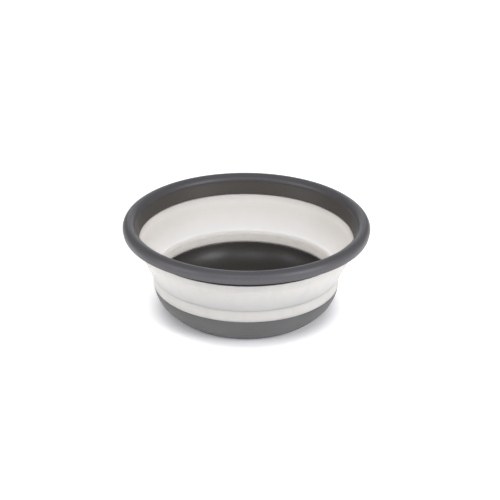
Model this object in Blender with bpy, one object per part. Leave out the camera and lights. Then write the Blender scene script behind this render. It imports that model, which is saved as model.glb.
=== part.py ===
"""Collapsible foot-soak basin: a rigid rim, a soft wall that folds down, and a rigid base pan.

Metres, +Z up. The basin stands on z = 0 and its axis is the Z axis. Every piece is turned about
that axis. The rim and the upper band of the wall slide straight down the axis as the basin folds.
The conical panel below them turns inside out: it is made of nested rings, and each ring slides a
share of the rim's travel, so the panel is a cone that opens upwards when the basin is up, and one
that opens downwards when it is folded. The lower band and the base pan stay where they are.
"""

import math

import bmesh
import bpy

# ---- driving dimensions ------------------------------------------------------------------------

RIM_RADIUS = 0.1850           # outside of the rolled lip
LIP_RADIUS = 0.0098           # half the width of the lip
LIP_Z = 0.1349                # height of the lip's centre
SKIRT_LEAN = math.radians(12)  # the lip's outer skirt leans in by this much
SKIRT_LENGTH = 0.0055         # straight run of the skirt below the rounded part
RIM_WALL = 0.0026             # rigid plastic, wall thickness of the lip and its collar
SKIRT_TIP = 0.0008            # the skirt's lower edge is rounded off by this height

COLLAR_BOTTOM_Z = 0.1157      # lower edge of the upright collar inside the lip
COLLAR_BOTTOM_RADIUS = 0.1607  # inner radius there
COLLAR_STEP = 0.0012          # the collar's outer half reaches this much further down

SOFT_WALL = 0.0026            # soft wall thickness, measured level
UPPER_CREASE_Z = 0.1003       # hinge line between the upper band and the panel
UPPER_CREASE_RADIUS = 0.1589  # outer radius there
LOWER_CREASE_Z = 0.0636       # hinge line between the panel and the lower band
LOWER_CREASE_RADIUS = 0.1410  # outer radius there

PAN_TOP_Z = 0.0446            # shoulder where the soft wall meets the base pan
PAN_TOP_RADIUS = 0.1395       # outer radius there
PAN_STEP = 0.0014             # the shoulder's inner half is this much lower
PAN_CURVE_RADIUS = 0.1370     # the pan's side bulges towards this radius and height
PAN_CURVE_Z = 0.0192
PAN_WALL = 0.0030             # rigid plastic, wall thickness of the pan
FOOT_RADIUS = 0.1068          # outer edge of the standing ring
FOOT_WIDTH = 0.0100           # width of the flat that the basin stands on
FOOT_EDGE = 0.0010            # rounding of the standing ring's outer edge
FOOT_RECESS = 0.0015          # the underside is raised by this inside the standing ring
FLOOR_Z = 0.0040              # height of the pan's inner floor
FLOOR_FILLET = 0.0105         # the inside's rounding runs this far onto the floor
SIDE_END = 0.98               # share of the side's curve that is used before the standing ring
INSIDE_END = 0.8              # share that the inside follows before it turns into the floor

TONGUE_THICKNESS = 0.0010     # rib on a rigid piece's edge that the soft wall grips
TONGUE_HEIGHT = 0.0045

GAP = 0.0003                  # between pieces that are moulded onto each other
RING_GAP = 0.0004             # radial, between rings that slide past each other
RING_COUNT = 6
RING_OVERLAP = 0.0010         # how much taller a ring is than the gap it has to close

SEGMENTS = 64                 # flats around every turned piece
LIP_STEPS = 7                 # flats along the lip's outside, and along its channel
LIP_INNER_STEPS = 5           # flats from the collar up to the top of the lip
SIDE_STEPS = 11               # flats down the outside of the pan
INSIDE_STEPS = 8              # flats down its inside
FILLET_STEPS = 4              # flats of the inside's rounding onto the floor
MERGE_DISTANCE = 0.00001      # points closer than this are one point
SHARP_ANGLE = math.radians(32)  # an edge that turns more than this is shaded as a crease

# ---- what follows from them --------------------------------------------------------------------

LIP_CENTRE = RIM_RADIUS - LIP_RADIUS
PANEL_HEIGHT = UPPER_CREASE_Z - LOWER_CREASE_Z
TRAVEL = 2 * PANEL_HEIGHT     # the rim drops by twice the height of the panel that turns over

RIM_GREY = (0.115, 0.118, 0.128)
WALL_WHITE = (0.740, 0.725, 0.705)
PAN_GREY = (0.110, 0.113, 0.118)
PLASTIC_ROUGHNESS = 0.45
RUBBER_ROUGHNESS = 0.55


# ---- outlines, as lists of (radius, height) ----------------------------------------------------

def arc(centre, radius, start, end, count):
    """Points on a circle from one angle to another, in degrees, ends included."""
    steps = [math.radians(start + (end - start) * i / count) for i in range(count + 1)]
    return [(centre[0] + radius * math.cos(a), centre[1] + radius * math.sin(a)) for a in steps]


def bezier(p0, p1, p2, count, last=1.0):
    """Points on a quadratic curve, from p0 as far as the share `last` of its way to p2."""
    points = []
    for i in range(count + 1):
        t = last * i / count
        a, b, c = (1 - t) ** 2, 2 * t * (1 - t), t * t
        points.append((a * p0[0] + b * p1[0] + c * p2[0], a * p0[1] + b * p1[1] + c * p2[1]))
    return points


def slope_at(p0, p1, p2, t):
    """Unit direction of the same curve at t."""
    dr = (1 - t) * (p1[0] - p0[0]) + t * (p2[0] - p1[0])
    dz = (1 - t) * (p1[1] - p0[1]) + t * (p2[1] - p1[1])
    length = math.hypot(dr, dz)
    return dr / length, dz / length


def band_lean():
    """How far the middle of the upper band moves outwards for each metre up."""
    collar_middle = COLLAR_BOTTOM_RADIUS + RIM_WALL / 2
    crease_middle = UPPER_CREASE_RADIUS - SOFT_WALL / 2
    return (collar_middle - crease_middle) / (COLLAR_BOTTOM_Z - UPPER_CREASE_Z)


def collar_foot():
    """Lower outer edge of the collar, on the line of the band's outer side."""
    radius = COLLAR_BOTTOM_RADIUS + RIM_WALL - band_lean() * COLLAR_STEP
    return radius, COLLAR_BOTTOM_Z - COLLAR_STEP


def collar_tongue(gap):
    """Rib under the collar, down the middle of the band, or the groove that a gap leaves for it.

    Points run from its outer edge at the top, down, and up again along its inner edge.
    """
    middle = COLLAR_BOTTOM_RADIUS + RIM_WALL / 2
    half = TONGUE_THICKNESS / 2 + gap
    top = COLLAR_BOTTOM_Z - gap
    bottom = COLLAR_BOTTOM_Z - TONGUE_HEIGHT - gap
    shift = band_lean() * (top - bottom)
    return [
        (middle + half - band_lean() * COLLAR_STEP, top - COLLAR_STEP),
        (middle + half - shift, bottom),
        (middle - half - shift, bottom),
        (middle - half, top),
    ]


def rim_outline():
    """An upside-down U for the lip, open below, whose inner leg is the collar."""
    lean = math.degrees(SKIRT_LEAN)
    centre = (LIP_CENTRE, LIP_Z)
    drop_r = SKIRT_LENGTH * math.sin(SKIRT_LEAN)
    drop_z = SKIRT_LENGTH * math.cos(SKIRT_LEAN)
    outer = arc(centre, LIP_RADIUS, 90, -lean, LIP_STEPS)
    channel = arc(centre, LIP_RADIUS - RIM_WALL, -lean, 180, LIP_STEPS)
    skirt_outer = (outer[-1][0] - drop_r, outer[-1][1] - drop_z)
    skirt_inner = (channel[0][0] - drop_r, channel[0][1] - drop_z)
    tip = ((skirt_outer[0] + skirt_inner[0]) / 2, skirt_outer[1] - SKIRT_TIP)
    collar_inner = (COLLAR_BOTTOM_RADIUS, COLLAR_BOTTOM_Z)
    inner = arc(centre, LIP_RADIUS, 180, 90, LIP_INNER_STEPS)
    foot = [collar_foot()] + collar_tongue(0.0) + [collar_inner]
    return outer + [skirt_outer, tip, skirt_inner] + channel + foot + inner[:-1]


def upper_band_outline():
    """Soft band that hangs from the collar, flush with it, and ends at the upper crease."""
    foot_radius, foot_z = collar_foot()
    return [
        (foot_radius, foot_z - GAP),
        (UPPER_CREASE_RADIUS, UPPER_CREASE_Z),
        (UPPER_CREASE_RADIUS - SOFT_WALL, UPPER_CREASE_Z),
        (COLLAR_BOTTOM_RADIUS, COLLAR_BOTTOM_Z - GAP),
    ] + collar_tongue(GAP)[::-1]


def shoulder_tongue():
    """Inner and outer radius of the rib that stands in the middle of the pan's shoulder."""
    middle = PAN_TOP_RADIUS - PAN_WALL / 2
    return middle - TONGUE_THICKNESS / 2, middle + TONGUE_THICKNESS / 2


def lower_band_outline():
    """Soft band on the pan's shoulder, with a groove below for the pan's tongue."""
    bottom = PAN_TOP_Z + GAP
    top = LOWER_CREASE_Z - GAP
    tongue_in, tongue_out = shoulder_tongue()
    roof = PAN_TOP_Z + TONGUE_HEIGHT + GAP
    return [
        (LOWER_CREASE_RADIUS, top),
        (PAN_TOP_RADIUS, bottom),
        (tongue_out + GAP, bottom),
        (tongue_out + GAP, roof),
        (tongue_in - GAP, roof),
        (tongue_in - GAP, bottom - PAN_STEP),
        (PAN_TOP_RADIUS - PAN_WALL, bottom - PAN_STEP),
        (LOWER_CREASE_RADIUS - SOFT_WALL, top - SOFT_WALL),
    ]


def pan_inside(side):
    """From the shoulder's inner edge down the inside and onto the floor."""
    points = [(PAN_TOP_RADIUS - PAN_WALL, PAN_TOP_Z - PAN_STEP)]
    for i in range(1, INSIDE_STEPS + 1):
        t = INSIDE_END * i / INSIDE_STEPS
        r, z = bezier(*side, 1, last=t)[1]
        dr, dz = slope_at(*side, t)
        points.append((r + dz * PAN_WALL, z - dr * PAN_WALL))
    r, z = points[-1]
    dr, dz = slope_at(*side, INSIDE_END)
    corner = (r + dr * (z - FLOOR_Z) / -dz, FLOOR_Z)
    floor_edge = (corner[0] - FLOOR_FILLET, FLOOR_Z)
    return points + bezier((r, z), corner, floor_edge, FILLET_STEPS)[1:]


def pan_outline():
    """From the middle of the inner floor, up the inside, down the outside, and in underneath."""
    side = ((PAN_TOP_RADIUS, PAN_TOP_Z), (PAN_CURVE_RADIUS, PAN_CURVE_Z), (FOOT_RADIUS, 0.0))
    tongue_in, tongue_out = shoulder_tongue()
    tongue_top = PAN_TOP_Z + TONGUE_HEIGHT
    tongue = [
        (tongue_in, PAN_TOP_Z - PAN_STEP), (tongue_in, tongue_top),
        (tongue_out, tongue_top), (tongue_out, PAN_TOP_Z),
    ]
    flat_outer = FOOT_RADIUS - FOOT_EDGE
    flat_inner = flat_outer - FOOT_WIDTH
    underside = [
        (flat_outer, 0.0), (flat_inner, 0.0),
        (flat_inner - FOOT_RECESS, FOOT_RECESS), (0.0, FOOT_RECESS),
    ]
    inside = [(0.0, FLOOR_Z)] + pan_inside(side)[::-1]
    return inside + tongue + bezier(*side, SIDE_STEPS, last=SIDE_END) + underside


def fold_share(t):
    """How much of the rim's travel a ring makes, for its place t up the panel, from 0 to 1."""
    return t * t * (3 - 2 * t)


def ring_places():
    """Centre height, height and radii of each ring of the panel, from the lowest up."""
    inner = LOWER_CREASE_RADIUS - SOFT_WALL
    pitch = (UPPER_CREASE_RADIUS - inner + RING_GAP) / RING_COUNT
    shares = [(i + 0.5) / RING_COUNT for i in range(RING_COUNT)]
    centres = [LOWER_CREASE_Z + t * PANEL_HEIGHT for t in shares]
    folded = [z - fold_share(t) * TRAVEL for z, t in zip(centres, shares)]
    steps = [folded[i] - folded[i + 1] for i in range(RING_COUNT - 1)]
    end_move = fold_share(shares[0]) * TRAVEL + GAP
    places = []
    for i, z in enumerate(centres):
        around = steps[max(i - 1, 0):i + 1]
        half = (sum(around) / len(around) + RING_OVERLAP) / 2
        low, high = z - half, z + half
        low = max(low, LOWER_CREASE_Z + end_move)
        high = min(high, UPPER_CREASE_Z - end_move)
        radius = inner + i * pitch
        places.append(((low + high) / 2, high - low, radius, radius + pitch - RING_GAP))
    return places


def ring_outline(z, height, inner, outer):
    """Upright ring about its own centre height."""
    top, bottom = z + height / 2, z - height / 2
    return [(outer, top), (outer, bottom), (inner, bottom), (inner, top)]


# ---- making the pieces -------------------------------------------------------------------------

def material(name, colour, roughness):
    made = bpy.data.materials.new(name)
    made.use_nodes = True
    shader = made.node_tree.nodes["Principled BSDF"]
    shader.inputs["Base Color"].default_value = (*colour, 1.0)
    shader.inputs["Roughness"].default_value = roughness
    shader.inputs["Metallic"].default_value = 0.0
    return made


def turned(name, outline, finish, origin_z=0.0, closed=True):
    """One piece turned about Z. An outline that starts and ends on the axis is left open there."""
    form = bmesh.new()
    points = [form.verts.new((r, 0.0, z - origin_z)) for r, z in outline]
    pairs = list(zip(points, points[1:])) + ([(points[-1], points[0])] if closed else [])
    edges = [form.edges.new(pair) for pair in pairs]
    bmesh.ops.spin(
        form, geom=points + edges, cent=(0, 0, 0), axis=(0, 0, 1), dvec=(0, 0, 0),
        angle=math.tau, steps=SEGMENTS, use_merge=True, use_duplicate=False,
    )
    bmesh.ops.remove_doubles(form, verts=form.verts, dist=MERGE_DISTANCE)
    bmesh.ops.recalc_face_normals(form, faces=form.faces)
    mesh = bpy.data.meshes.new(name)
    form.to_mesh(mesh)
    form.free()
    mesh.shade_smooth()
    mesh.set_sharp_from_angle(angle=SHARP_ANGLE)
    mesh.materials.append(finish)
    piece = bpy.data.objects.new(name, mesh)
    piece.location.z = origin_z
    bpy.context.scene.collection.objects.link(piece)
    return piece


def carried_by(parent, piece):
    """Parents piece without moving it."""
    piece.parent = parent
    piece.location = piece.location - parent.location


def build():
    for old in list(bpy.data.objects):
        bpy.data.objects.remove(old)

    slide = bpy.data.objects.new("rim_slide", None)
    bpy.context.scene.collection.objects.link(slide)
    slide.location.z = UPPER_CREASE_Z

    rim_plastic = material("rim_plastic", RIM_GREY, PLASTIC_ROUGHNESS)
    upper_rubber = material("upper_rubber", WALL_WHITE, RUBBER_ROUGHNESS)
    carried_by(slide, turned("rim", rim_outline(), rim_plastic))
    carried_by(slide, turned("wall_upper_band", upper_band_outline(), upper_rubber))

    for number, (z, height, inner, outer) in enumerate(ring_places(), start=1):
        outline = ring_outline(z, height, inner, outer)
        panel_rubber = material(f"panel_rubber_{number}", WALL_WHITE, RUBBER_ROUGHNESS)
        turned(f"wall_panel_ring_{number}", outline, panel_rubber, origin_z=z)

    lower_rubber = material("lower_rubber", WALL_WHITE, RUBBER_ROUGHNESS)
    turned("wall_lower_band", lower_band_outline(), lower_rubber)
    pan_plastic = material("pan_plastic", PAN_GREY, PLASTIC_ROUGHNESS)
    turned("base_pan", pan_outline(), pan_plastic, closed=False)


build()
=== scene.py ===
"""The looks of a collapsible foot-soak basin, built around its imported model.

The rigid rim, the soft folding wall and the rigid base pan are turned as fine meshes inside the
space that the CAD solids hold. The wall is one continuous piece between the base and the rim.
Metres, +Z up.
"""

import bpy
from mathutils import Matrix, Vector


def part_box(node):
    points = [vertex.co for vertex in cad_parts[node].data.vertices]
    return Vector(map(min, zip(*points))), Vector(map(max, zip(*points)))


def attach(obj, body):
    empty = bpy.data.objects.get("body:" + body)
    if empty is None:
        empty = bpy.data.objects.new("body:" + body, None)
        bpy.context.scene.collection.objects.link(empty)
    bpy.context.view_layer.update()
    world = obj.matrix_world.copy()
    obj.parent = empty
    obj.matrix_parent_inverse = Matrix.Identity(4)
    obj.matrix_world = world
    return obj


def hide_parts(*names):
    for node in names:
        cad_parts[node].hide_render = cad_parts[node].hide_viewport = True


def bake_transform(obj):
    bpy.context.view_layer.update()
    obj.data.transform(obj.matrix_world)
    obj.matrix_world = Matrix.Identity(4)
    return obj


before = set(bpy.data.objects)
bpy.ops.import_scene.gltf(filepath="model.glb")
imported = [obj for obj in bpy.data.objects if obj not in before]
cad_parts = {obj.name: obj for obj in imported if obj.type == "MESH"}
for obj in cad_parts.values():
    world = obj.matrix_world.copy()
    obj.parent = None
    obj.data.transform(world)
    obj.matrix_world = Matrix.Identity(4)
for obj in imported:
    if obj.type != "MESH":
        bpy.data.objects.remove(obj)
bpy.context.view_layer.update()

import math

import bpy
import numpy as np
from mathutils import Quaternion, Vector

MM = 0.001

# ---- where the CAD model puts things ------------------------------------------------------------

MOULD_GAP = 0.3 * MM            # the CAD model leaves this between pieces moulded together

rim_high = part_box("rim")[1]
upper_low, upper_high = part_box("wall_upper_band")
lower_low, lower_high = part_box("wall_lower_band")
pan_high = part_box("base_pan")[1]

RIM_RADIUS = rim_high[0]
RIM_TOP_Z = rim_high[2]
COLLAR_BOTTOM_Z = upper_high[2] + MOULD_GAP
COLLAR_FOOT_RADIUS = upper_high[0]  # outer radius of the collar's lower edge
UPPER_CREASE_Z = upper_low[2]
LOWER_CREASE_Z = lower_high[2] + MOULD_GAP
LOWER_CREASE_RADIUS = lower_high[0]
PAN_STEP_Z = lower_low[2] - MOULD_GAP
PAN_RADIUS = pan_high[0]

# ---- dimensions that the boxes don't give -------------------------------------------------------

LIP_RADIUS = 9.8 * MM           # half the width of the rolled lip
RIM_WALL = 2.6 * MM             # thickness of the rim's plastic
SKIRT_LEAN = math.radians(12)   # the lip's outer skirt leans in
SKIRT_LENGTH = 5.5 * MM

COLLAR_INNER = 160.7 * MM       # inner radius of the collar's lower edge
COLLAR_STEP = 1.2 * MM          # its outer half reaches this much further down

SOFT_WALL = 2.6 * MM            # thickness of the soft wall, measured level
UPPER_CREASE_RADIUS = 158.9 * MM
SEAM = 0.12 * MM                # hairline between soft and rigid material
HINGE_WIDTH = 3.0 * MM          # of the grooves outside; inside they are wider
OUTER_HINGE_DEPTH = 0.5 * MM    # of the lower hinge; the upper one is shallower
INNER_HINGE_DEPTH = 0.45 * MM
BEAD_HEIGHT = 0.12 * MM         # the upper hinge is slightly raised inside
RIPPLE = 0.22 * MM              # the soft panel is this far from truly round

PAN_WALL = 3.0 * MM
PAN_STEP = 1.4 * MM             # the shoulder's inner half is this much lower
PAN_CURVE = (137.0 * MM, 19.2 * MM)   # the pan's side bulges towards this radius and height
PAN_LINE_T = 0.46               # a fine raised line runs around the pan at this share of its side
PAN_LINE_HEIGHT = 0.35 * MM
PAN_LINE_WIDTH = 1.6 * MM
FOOT_RADIUS = 106.8 * MM
FOOT_WIDTH = 10.0 * MM
FOOT_EDGE = 1.0 * MM
FOOT_RECESS = 1.5 * MM
FLOOR_Z = 4.0 * MM
FLOOR_FILLET = 10.5 * MM

AROUND = 240                    # flats around every turned piece
ROUNDING_STEPS = 5              # flats around every rounded corner of an outline

LIP_CENTRE = RIM_RADIUS - LIP_RADIUS
LIP_Z = RIM_TOP_Z - LIP_RADIUS
COLLAR_FOOT_Z = COLLAR_BOTTOM_Z - COLLAR_STEP
COLLAR_MIDDLE = (COLLAR_INNER + COLLAR_FOOT_RADIUS) / 2
PAN_TOP_Z = PAN_STEP_Z + PAN_STEP
PAN_MIDDLE = PAN_RADIUS - PAN_WALL / 2
FOOT_POINT = (FOOT_RADIUS, 0.0)
PAN_SIDE = ((PAN_RADIUS, PAN_TOP_Z), PAN_CURVE, FOOT_POINT)
UPPER_HINGE = (UPPER_CREASE_RADIUS, UPPER_CREASE_Z)
LOWER_HINGE = (LOWER_CREASE_RADIUS, LOWER_CREASE_Z)
UPPER_HINGE_IN = (UPPER_CREASE_RADIUS - SOFT_WALL, UPPER_CREASE_Z)
LOWER_HINGE_IN = (LOWER_CREASE_RADIUS - SOFT_WALL, LOWER_CREASE_Z - SOFT_WALL * 1.3)


# ---- outlines: (radius, height) points, clockwise with the axis on the left ----------------------

def arc(centre, radius, start, end, step=6):
    """Points on a circle, angles in degrees, ends included."""
    count = max(2, math.ceil(abs(end - start) / step))
    angles = [math.radians(start + (end - start) * i / count) for i in range(count + 1)]
    return [(centre[0] + radius * math.cos(a), centre[1] + radius * math.sin(a)) for a in angles]


def rounded(corners, closed=True):
    """Outline through corners given as (radius, height, rounding), each rounded by a curve."""
    outline = []
    total = len(corners)
    for i, (r, z, rounding) in enumerate(corners):
        here = Vector((r, z))
        if rounding <= 0 or (not closed and i in (0, total - 1)):
            outline.append((r, z))
            continue
        before = Vector(corners[i - 1][:2]) - here
        after = Vector(corners[(i + 1) % total][:2]) - here
        reach = min(rounding, before.length * 0.48, after.length * 0.48)
        start, end = here + before.normalized() * reach, here + after.normalized() * reach
        for k in range(ROUNDING_STEPS + 1):
            t = k / ROUNDING_STEPS
            p = start * (1 - t) ** 2 + here * 2 * t * (1 - t) + end * t ** 2
            outline.append((p.x, p.y))
    return outline


def evened(outline, longest, closed=True):
    """The same outline with its long straight runs cut into steps no longer than longest."""
    pairs = list(zip(outline, outline[1:])) + ([(outline[-1], outline[0])] if closed else [])
    made = []
    for (r0, z0), (r1, z1) in pairs:
        count = max(1, math.ceil(math.hypot(r1 - r0, z1 - z0) / longest))
        for k in range(count):
            made.append((r0 + (r1 - r0) * k / count, z0 + (z1 - z0) * k / count))
    if not closed:
        made.append(outline[-1])
    return made


def curve(p0, p1, p2, t):
    a, b, c = (1 - t) ** 2, 2 * t * (1 - t), t * t
    return a * p0[0] + b * p1[0] + c * p2[0], a * p0[1] + b * p1[1] + c * p2[1]


def curve_direction(p0, p1, p2, t):
    dr = (1 - t) * (p1[0] - p0[0]) + t * (p2[0] - p1[0])
    dz = (1 - t) * (p1[1] - p0[1]) + t * (p2[1] - p1[1])
    length = math.hypot(dr, dz)
    return dr / length, dz / length


def between(start, end, step):
    """Evenly spaced points on a straight line, ends included."""
    count = math.ceil(math.dist(start, end) / step)
    a, b = Vector(start), Vector(end)
    return [tuple(a.lerp(b, i / count)) for i in range(count + 1)]


def plain_corners(points):
    return [(r, z, 0) for r, z in points]


def rim_outline():
    """Rolled lip, open underneath, whose inner leg is the upright collar."""
    lean = math.degrees(SKIRT_LEAN)
    centre = (LIP_CENTRE, LIP_Z)
    drop_r, drop_z = SKIRT_LENGTH * math.sin(SKIRT_LEAN), SKIRT_LENGTH * math.cos(SKIRT_LEAN)
    outer = arc(centre, LIP_RADIUS, 90, -lean)
    channel = arc(centre, LIP_RADIUS - RIM_WALL, -lean, 180, 10)
    skirt_out = (outer[-1][0] - drop_r, outer[-1][1] - drop_z)
    skirt_in = (channel[0][0] - drop_r, channel[0][1] - drop_z)
    tip = [(*skirt_out, 1.0 * MM), (*skirt_in, 0.8 * MM)]
    foot = [
        (COLLAR_FOOT_RADIUS, COLLAR_FOOT_Z, 0.3 * MM), (COLLAR_MIDDLE, COLLAR_FOOT_Z, 0),
        (COLLAR_MIDDLE, COLLAR_BOTTOM_Z, 0), (COLLAR_INNER, COLLAR_BOTTOM_Z, 0.35 * MM),
    ]
    inner = arc(centre, LIP_RADIUS, 180, 90)[:-1]
    corners = plain_corners(outer) + tip + plain_corners(channel) + foot + plain_corners(inner)
    return evened(rounded(corners), 2.5 * MM)


def groove(at, along, width, depth, inward, softness=0.32):
    """Corners of a shallow groove across an outline at a point, running in direction along."""
    side = Vector(along).normalized()
    into = Vector(inward).normalized()
    here = Vector(at)
    points = []
    for share, sink in ((-0.5, 0.0), (0.0, 1.0), (0.5, 0.0)):
        p = here + side * width * share + into * depth * sink
        points.append((p.x, p.y, width * softness))
    return points


def wall_outline():
    """The soft wall: upper band, conical panel and lower band, from the collar to the pan."""
    top = COLLAR_BOTTOM_Z - SEAM
    bottom, step = PAN_TOP_Z + SEAM, PAN_STEP_Z + SEAM
    cone = (UPPER_CREASE_RADIUS - LOWER_CREASE_RADIUS) / (UPPER_CREASE_Z - LOWER_CREASE_Z)
    down = (-cone, -1.0)
    up = (cone, 1.0)
    corners = [
        (COLLAR_MIDDLE - SEAM, top, 0), (COLLAR_MIDDLE - SEAM, COLLAR_FOOT_Z - SEAM, 0),
        (COLLAR_FOOT_RADIUS, COLLAR_FOOT_Z - SEAM, 0.3 * MM),
        *groove(UPPER_HINGE, down, HINGE_WIDTH, OUTER_HINGE_DEPTH * 0.6, (-1, 0.4)),
        *groove(LOWER_HINGE, down, HINGE_WIDTH, OUTER_HINGE_DEPTH, (-1, 0.1)),
        (PAN_RADIUS, bottom, 0.35 * MM), (PAN_MIDDLE - SEAM, bottom, 0),
        (PAN_MIDDLE - SEAM, step, 0), (PAN_RADIUS - PAN_WALL, step, 0.35 * MM),
        *groove(LOWER_HINGE_IN, up, HINGE_WIDTH * 1.6, INNER_HINGE_DEPTH, (1, -0.2), 0.45),
        *groove(UPPER_HINGE_IN, up, HINGE_WIDTH * 3, -BEAD_HEIGHT, (1, -0.4), 0.45),
        (COLLAR_INNER, top, 0.35 * MM),
    ]
    return evened(rounded(corners), 1.5 * MM)


def pan_outside():
    """Down the outside of the pan, over the fine raised line, to the standing ring."""
    side_end, count = 0.985, 60
    length = math.dist(PAN_SIDE[0], PAN_SIDE[2])
    points = []
    for i in range(1, count + 1):
        t = side_end * i / count
        (r, z), (dr, dz) = curve(*PAN_SIDE, t), curve_direction(*PAN_SIDE, t)
        off = (t - PAN_LINE_T) * length / PAN_LINE_WIDTH
        proud = PAN_LINE_HEIGHT * math.exp(-off * off)
        points.append((r - dz * proud, z + dr * proud))
    return points


def pan_inside():
    """Down the inside of the pan and onto its floor."""
    inside_end, count = 0.8, 16
    points = []
    for i in range(1, count + 1):
        t = inside_end * i / count
        (r, z), (dr, dz) = curve(*PAN_SIDE, t), curve_direction(*PAN_SIDE, t)
        points.append((r + dz * PAN_WALL, z - dr * PAN_WALL))
    (r, z), (dr, dz) = points[-1], curve_direction(*PAN_SIDE, inside_end)
    corner = (r + dr * (z - FLOOR_Z) / -dz, FLOOR_Z)
    floor_edge = (corner[0] - FLOOR_FILLET, FLOOR_Z)
    return points + [curve((r, z), corner, floor_edge, i / 10) for i in range(1, 11)]


def gate_mark():
    """Where the plastic entered the mould: a small dimple in the underside with a nub in it."""
    return [
        (6.0 * MM, FOOT_RECESS, 0.4 * MM), (5.0 * MM, FOOT_RECESS + 0.5 * MM, 0.4 * MM),
        (1.6 * MM, FOOT_RECESS + 0.5 * MM, 0.2 * MM), (1.3 * MM, FOOT_RECESS + 0.1 * MM, 0.2 * MM),
        (0.0, FOOT_RECESS + 0.05 * MM, 0),
    ]


def pan_outline():
    """From the middle of the inner floor, up the inside, down the outside, and in underneath."""
    foot_out = FOOT_RADIUS - FOOT_EDGE
    foot_in = foot_out - FOOT_WIDTH
    shoulder = [
        (PAN_RADIUS - PAN_WALL, PAN_STEP_Z, 0.35 * MM), (PAN_MIDDLE, PAN_STEP_Z, 0),
        (PAN_MIDDLE, PAN_TOP_Z, 0), (PAN_RADIUS, PAN_TOP_Z, 0.35 * MM),
    ]
    foot = [
        (foot_out, 0.0, FOOT_EDGE), (foot_in, 0.0, 0.5 * MM),
        (foot_in - FOOT_RECESS, FOOT_RECESS, 0.6 * MM),
    ]
    inside = plain_corners([(0.0, FLOOR_Z)] + pan_inside()[::-1])
    corners = inside + shoulder + plain_corners(pan_outside()) + foot + gate_mark()
    return evened(rounded(corners, closed=False), 6 * MM, closed=False)


# ---- meshes ------------------------------------------------------------------------------------

def turned(name, outline, closed=True):
    """Turns an outline about Z. An open outline starts and ends on the axis."""
    ring = outline if closed else outline[1:-1]
    angles = np.arange(AROUND) * math.tau / AROUND
    r, z = np.array(ring).T
    points = np.stack([
        np.outer(r, np.cos(angles)), np.outer(r, np.sin(angles)),
        np.repeat(z[:, None], AROUND, axis=1),
    ], axis=-1).reshape(-1, 3)
    rows = len(ring)
    faces = []
    for i in range(rows if closed else rows - 1):
        low, high = i * AROUND, (i + 1) % rows * AROUND
        for k in range(AROUND):
            n = (k + 1) % AROUND
            faces.append((low + k, high + k, high + n, low + n))
    points = [tuple(p) for p in points]
    if not closed:
        first, last = len(points), len(points) + 1
        points += [(0.0, 0.0, outline[0][1]), (0.0, 0.0, outline[-1][1])]
        end = (rows - 1) * AROUND
        for k in range(AROUND):
            n = (k + 1) % AROUND
            faces.append((first, k, n))
            faces.append((end + k, last, end + n))
    mesh = bpy.data.meshes.new(name)
    mesh.from_pydata(points, [], faces)
    mesh.shade_smooth()
    mesh.validate()
    piece = bpy.data.objects.new(name, mesh)
    bpy.context.scene.collection.objects.link(piece)
    return piece


def places_of(piece):
    places = np.empty(len(piece.data.vertices) * 3, np.float32)
    piece.data.vertices.foreach_get("co", places)
    return places.reshape(-1, 3)


def ripple(piece, low, high, size):
    """Soft walls are never truly round: moves points in and out between two heights."""
    places = places_of(piece)
    around = np.arctan2(places[:, 1], places[:, 0])
    share = np.clip((places[:, 2] - low) / (high - low), 0, 1)
    wave = sum(
        weight * np.cos(turns * around + phase)
        for turns, weight, phase in ((2, 0.35, 0.4), (3, 0.30, 2.1), (5, 0.20, 4.0), (9, 0.15, 1.2))
    )
    out = size * wave * np.sin(math.pi * share) ** 2
    places[:, 0] += out * np.cos(around)
    places[:, 1] += out * np.sin(around)
    piece.data.vertices.foreach_set("co", places.ravel())
    piece.data.update()


def keep_rest_place(piece):
    """Stores each point's place at rest, so that the grain stays put when the piece bends."""
    stored = piece.data.attributes.new("rest_place", "FLOAT_VECTOR", "POINT")
    stored.data.foreach_set("vector", places_of(piece).ravel())


def mark_near(piece, name, spots, reach):
    """Stores how near each point is to any of some (radius, height) spots: 1 there, 0 far away."""
    places = places_of(piece)
    r, z = np.hypot(places[:, 0], places[:, 1]), places[:, 2]
    nearest = np.min([np.hypot(r - spot[0], z - spot[1]) for spot in spots], axis=0)
    stored = piece.data.attributes.new(name, "FLOAT", "POINT")
    stored.data.foreach_set("value", np.exp(-(nearest / reach) ** 2).astype(np.float32))


# ---- materials ---------------------------------------------------------------------------------

RUBBED = (0.30, 0.30, 0.31)     # plastic where it is scratched or worn pale
SOIL = (0.50, 0.46, 0.42)       # what collects in the soft wall's creases


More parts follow.
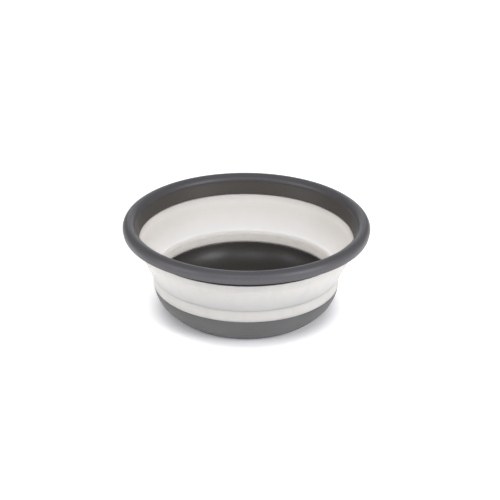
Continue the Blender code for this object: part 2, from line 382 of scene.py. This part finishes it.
class Finish:
    """A material under construction: its nodes, and short ways to add and join them."""

    def __init__(self, name):
        self.made = bpy.data.materials.new(name)
        self.made.use_nodes = True
        self.nodes = self.made.node_tree.nodes
        self.links = self.made.node_tree.links
        self.shader = self.nodes["Principled BSDF"]
        self.place = self.attribute("rest_place", "Vector")

    def join(self, value, socket):
        """Links a node's output into a socket, or sets a plain value there."""
        if isinstance(value, bpy.types.NodeSocket):
            self.links.new(value, socket)
        else:
            socket.default_value = value

    def attribute(self, name, output="Fac"):
        node = self.nodes.new("ShaderNodeAttribute")
        node.attribute_name = name
        return node.outputs[output]

    def stretched(self, scale):
        node = self.nodes.new("ShaderNodeMapping")
        self.join(self.place, node.inputs["Vector"])
        node.inputs["Scale"].default_value = scale
        return node.outputs["Vector"]

    def noise(self, scale, detail=2.0, roughness=0.5, distortion=0.0, place=None):
        """Cloudy pattern, around 0.5. Scale is how many features fit in a metre."""
        node = self.nodes.new("ShaderNodeTexNoise")
        self.join(place or self.place, node.inputs["Vector"])
        node.inputs["Scale"].default_value = scale
        node.inputs["Detail"].default_value = detail
        node.inputs["Roughness"].default_value = roughness
        node.inputs["Distortion"].default_value = distortion
        return node.outputs["Fac"]

    def maths(self, operation, a, b):
        node = self.nodes.new("ShaderNodeMath")
        node.operation = operation
        self.join(a, node.inputs[0])
        self.join(b, node.inputs[1])
        return node.outputs["Value"]

    def ranged(self, value, low, high, to_low, to_high, smooth=False):
        """Maps low..high to to_low..to_high, and holds the ends."""
        node = self.nodes.new("ShaderNodeMapRange")
        node.interpolation_type = "SMOOTHSTEP" if smooth else "LINEAR"
        for socket, given in zip(node.inputs, (value, low, high, to_low, to_high)):
            self.join(given, socket)
        return node.outputs["Result"]

    def mix(self, share, a, b):
        node = self.nodes.new("ShaderNodeMix")
        node.data_type = "RGBA"
        self.join(share, node.inputs["Factor"])
        for given, socket in ((a, node.inputs[6]), (b, node.inputs[7])):
            self.join((*given, 1) if isinstance(given, tuple) else given, socket)
        return node.outputs[2]

    def bump(self, height, distance, strength, under=None):
        node = self.nodes.new("ShaderNodeBump")
        self.join(height, node.inputs["Height"])
        node.inputs["Distance"].default_value = distance
        node.inputs["Strength"].default_value = strength
        if under:
            self.join(under, node.inputs["Normal"])
        return node.outputs["Normal"]

    def set(self, **sockets):
        """Sets or links the shader's sockets; underscores in their names stand for spaces."""
        for name, value in sockets.items():
            self.join(value, self.shader.inputs[name.replace("_", " ")])


def tinted(colour, by):
    return tuple(channel * by for channel in colour)


def moulded_plastic(name, colour, roughness, painted_shade_inner_colour=None, inner_roughness=None):
    """Polypropylene from a spark-eroded mould: fine grain, faint clouding, scuffs, paler edges.

    The side that faces the water may have its own gloss, and its darker colour there is painted
    shade; the marked channel under the lip is painted shade too, darker and duller.
    """
    f = Finish(name)
    inside = f.attribute("inside")
    # painted shade: the inside of the basin is given a darker colour
    body = f.mix(inside, colour, painted_shade_inner_colour or colour)
    clouds = f.ranged(f.noise(14, 4, 0.6), 0.3, 0.7, 0, 1, smooth=True)
    body = f.mix(f.maths("MULTIPLY", clouds, 0.10), body, tinted(colour, 0.3))
    speckle = f.ranged(f.noise(900, 2), 0.40, 0.75, 0, 0.06)
    body = f.mix(speckle, body, RUBBED)
    patchy = f.ranged(f.noise(600, 6, 0.75), 0.50, 0.80, 0, 0.07)
    rubbed = f.maths("MULTIPLY", f.attribute("wear"), patchy)
    body = f.mix(rubbed, body, RUBBED)
    scuffs = f.ranged(f.noise(45, 8, 0.75, 1.5), 0.56, 0.70, 0, 0.06)
    gloss = f.ranged(inside, 0, 1, roughness, inner_roughness or roughness)
    gloss = f.maths("ADD", gloss, f.ranged(clouds, 0, 1, -0.02, 0.05))
    gloss = f.maths("SUBTRACT", gloss, scuffs)
    # painted shade: the channel under the lip and the collar's outer face below it are darkened and
    # dulled
    painted_shade_under_lip = f.attribute("painted_shade_under_lip")
    body = f.mix(painted_shade_under_lip, body, tinted(colour, 0.2))
    shine = f.ranged(painted_shade_under_lip, 0, 1, 0.42, 0.10)
    shape = f.bump(f.noise(110, 2), 0.06 * MM, 0.25)
    shape = f.bump(f.noise(1500, 3, 0.6), 0.05 * MM, 0.45, shape)
    f.set(Base_Color=body, Roughness=gloss, Normal=shape, IOR=1.49, Specular_IOR_Level=shine)
    return f.made


def soft_rubber(name, colour, painted_shade_inner_colour):
    """Off-white thermoplastic rubber: satin, slightly translucent, with flow lines down it."""
    f = Finish(name)
    # painted shade: the wall's inner face is darker than its outer face
    body = f.mix(f.attribute("inside"), colour, painted_shade_inner_colour)
    clouds = f.ranged(f.noise(9, 4, 0.6), 0.3, 0.7, 0.10, 0, smooth=True)
    body = f.mix(clouds, body, tinted(colour, 0.8))
    streaks = f.ranged(f.noise(1, 4, 0.6, 0.4, f.stretched((85, 85, 6))), 0.45, 0.75, 0, 0.20)
    body = f.mix(streaks, body, tinted(colour, 0.75))
    patchy = f.ranged(f.noise(70, 5, 0.7), 0.3, 0.7, 0.12, 0.30)
    soil = f.maths("MULTIPLY", f.attribute("crease"), patchy)
    body = f.mix(soil, body, SOIL)
    gloss = f.ranged(f.noise(30, 5, 0.65), 0.3, 0.7, 0.50, 0.60)
    shape = f.bump(f.noise(1, 3, 0.5, 0.3, f.stretched((60, 60, 10))), 0.15 * MM, 0.30)
    shape = f.bump(f.noise(1300, 3, 0.6), 0.04 * MM, 0.40, shape)
    f.set(
        Base_Color=body, Roughness=gloss, Normal=shape, IOR=1.46, Subsurface_Weight=1.0,
        Subsurface_Radius=(1.0, 0.95, 0.9), Subsurface_Scale=20 * MM,
    )
    return f.made


def white_floor():
    """Matt white table that glows evenly, except near the basin, where the glow fades as a painted
    contact shadow.
    """
    f = Finish("floor_white")
    tone = f.ranged(f.noise(3, 3), 0.3, 0.7, 0.925, 0.935)
    away = f.nodes.new("ShaderNodeVectorMath")
    away.operation = "LENGTH"
    f.join(f.place, away.inputs[0])
    # painted shadow: the glow drops near the basin's foot
    glow_and_painted_shadow = f.ranged(away.outputs["Value"], 0.115, 0.155, 0.04, 0.50, smooth=True)
    f.set(Base_Color=tone, Roughness=0.9, Emission_Color=(1, 1, 1, 1), Emission_Strength=glow_and_painted_shadow)
    return f.made


# ---- the object --------------------------------------------------------------------------------

rim = turned("rim_moulding", rim_outline())
wall = turned("folding_wall", wall_outline())
pan = turned("base_pan_moulding", pan_outline(), closed=False)

ripple(wall, LOWER_CREASE_Z, UPPER_CREASE_Z, RIPPLE)
for piece in (rim, wall, pan):
    keep_rest_place(piece)

skirt_tip = (RIM_RADIUS - SKIRT_LENGTH * math.sin(SKIRT_LEAN), LIP_Z - SKIRT_LENGTH - 2 * MM)
mark_near(rim, "wear", [(RIM_RADIUS, LIP_Z), (LIP_CENTRE, RIM_TOP_Z), skirt_tip], 2.2 * MM)
# painted shade, warm-tinted, on the collar's inner face
collar = between((COLLAR_INNER, COLLAR_BOTTOM_Z), (LIP_CENTRE - LIP_RADIUS, LIP_Z), 1 * MM)
mark_near(rim, "inside", collar, 1.6 * MM)
# painted shade under the lip: marks the channel and the collar's outer face for darkening
channel = arc((LIP_CENTRE, LIP_Z), LIP_RADIUS - RIM_WALL, 20, 180)
channel += between(channel[-1], (COLLAR_FOOT_RADIUS, COLLAR_FOOT_Z), 1 * MM)
mark_near(rim, "painted_shade_under_lip", channel, 1.2 * MM)
mark_near(pan, "wear", [FOOT_POINT, curve(*PAN_SIDE, PAN_LINE_T)], 2.0 * MM)
# the pan's inside: its own gloss, and a darker colour that is painted shade
mark_near(pan, "inside", pan_inside() + between((0.0, FLOOR_Z), (100 * MM, FLOOR_Z), 1 * MM), 1.5 * MM)
seams = [(COLLAR_FOOT_RADIUS, COLLAR_FOOT_Z), (COLLAR_INNER, COLLAR_BOTTOM_Z)]
seams += [(PAN_RADIUS, PAN_TOP_Z), (PAN_RADIUS - PAN_WALL, PAN_STEP_Z)]
mark_near(wall, "crease", [LOWER_HINGE, LOWER_HINGE_IN, UPPER_HINGE, *seams], 1.4 * MM)
# painted shade on the wall's inner face
inner_wall = between(LOWER_HINGE_IN, UPPER_HINGE_IN, 1 * MM)
inner_wall += between(UPPER_HINGE_IN, (COLLAR_INNER, COLLAR_BOTTOM_Z), 1 * MM)
mark_near(wall, "inside", inner_wall, 1.2 * MM)

# each second colour is the inside's, darkened as painted shade
rim.data.materials.append(
    moulded_plastic("rim_plastic", (0.071, 0.070, 0.075), 0.40, (0.062, 0.055, 0.046), 0.50)
)
wall.data.materials.append(
    soft_rubber("wall_rubber", (0.545, 0.52, 0.482), (0.435, 0.418, 0.392))
)
pan.data.materials.append(
    moulded_plastic("pan_plastic", (0.080, 0.081, 0.080), 0.46, (0.038, 0.035, 0.030), 0.35)
)

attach(rim, "rim")
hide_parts("rim")
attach(pan, "base")
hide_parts("base_pan")
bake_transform(wall)
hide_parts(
    "wall_upper_band", "wall_lower_band",
    *[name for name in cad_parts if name.startswith("wall_panel_ring_")],
)


# ---- floor, light and camera -------------------------------------------------------------------

LIGHT_DISTANCE = 2.2
BASIN_MIDDLE = Vector((0, 0, 0.08))   # the lights point here
COOL_WHITE = (0.96, 0.955, 1.0)


def floor():
    half = 8.0
    corners = [(-half, -half, 0), (half, -half, 0), (half, half, 0), (-half, half, 0)]
    mesh = bpy.data.meshes.new("floor")
    mesh.from_pydata(corners, [], [(0, 1, 2, 3)])
    ground = bpy.data.objects.new("floor", mesh)
    bpy.context.scene.collection.objects.link(ground)
    keep_rest_place(ground)
    ground.data.materials.append(white_floor())


def softbox(name, azimuth, elevation, size, power):
    """Large soft light aimed at the basin. Azimuth 0 is on the camera's side, 90 to its right."""
    a, e = math.radians(azimuth), math.radians(elevation)
    back = Vector((math.sin(a) * math.cos(e), -math.cos(a) * math.cos(e), math.sin(e)))
    light = bpy.data.lights.new(name, "AREA")
    light.shape = "RECTANGLE"
    light.size, light.size_y = size
    light.energy = power
    light.color = COOL_WHITE
    lamp = bpy.data.objects.new(name, light)
    lamp.location = BASIN_MIDDLE + back * LIGHT_DISTANCE
    lamp.rotation_mode = "QUATERNION"
    lamp.rotation_quaternion = (-back).to_track_quat("-Z", "Y")
    bpy.context.scene.collection.objects.link(lamp)


def studio():
    world = bpy.data.worlds.new("studio")
    world.use_nodes = True
    sky = world.node_tree.nodes["Background"]
    sky.inputs["Color"].default_value = (1, 1, 1, 1)
    sky.inputs["Strength"].default_value = 0.34
    bpy.context.scene.world = world
    softbox("left", -60, 20, (1.2, 1.0), 19)
    softbox("right", 60, 20, (1.2, 1.0), 12)
    softbox("right_front", 46, 28, (0.9, 0.9), 18)
    softbox("front", -8, 40, (1.4, 0.8), 10)
    softbox("back_high", 180, 68, (1.4, 1.0), 3)
    softbox("back_low", 180, 15, (1.6, 0.8), 6)
    bpy.context.scene.view_settings.view_transform = "Standard"


def camera():
    """A long lens, looking down on the basin from the front, with a slight lean."""
    elevation = math.radians(24.87)
    distance = 3.141
    aim_right, aim_down = 5.6 * MM, 36.4 * MM
    lean = 0.0078
    forward = Vector((0, math.cos(elevation), -math.sin(elevation)))
    up = Vector((0, math.sin(elevation), math.cos(elevation)))
    target = Vector((0, 0, 0.1352))
    place = target - forward * distance
    aim = target + Vector((1, 0, 0)) * aim_right - up * aim_down - place
    data = bpy.data.cameras.new("camera")
    data.lens = 151.2
    data.sensor_width = 36
    eye = bpy.data.objects.new("camera", data)
    eye.location = place
    eye.rotation_mode = "QUATERNION"
    eye.rotation_quaternion = aim.to_track_quat("-Z", "Y") @ Quaternion((0, 0, 1), lean)
    bpy.context.scene.collection.objects.link(eye)
    bpy.context.scene.camera = eye


floor()
studio()
camera()
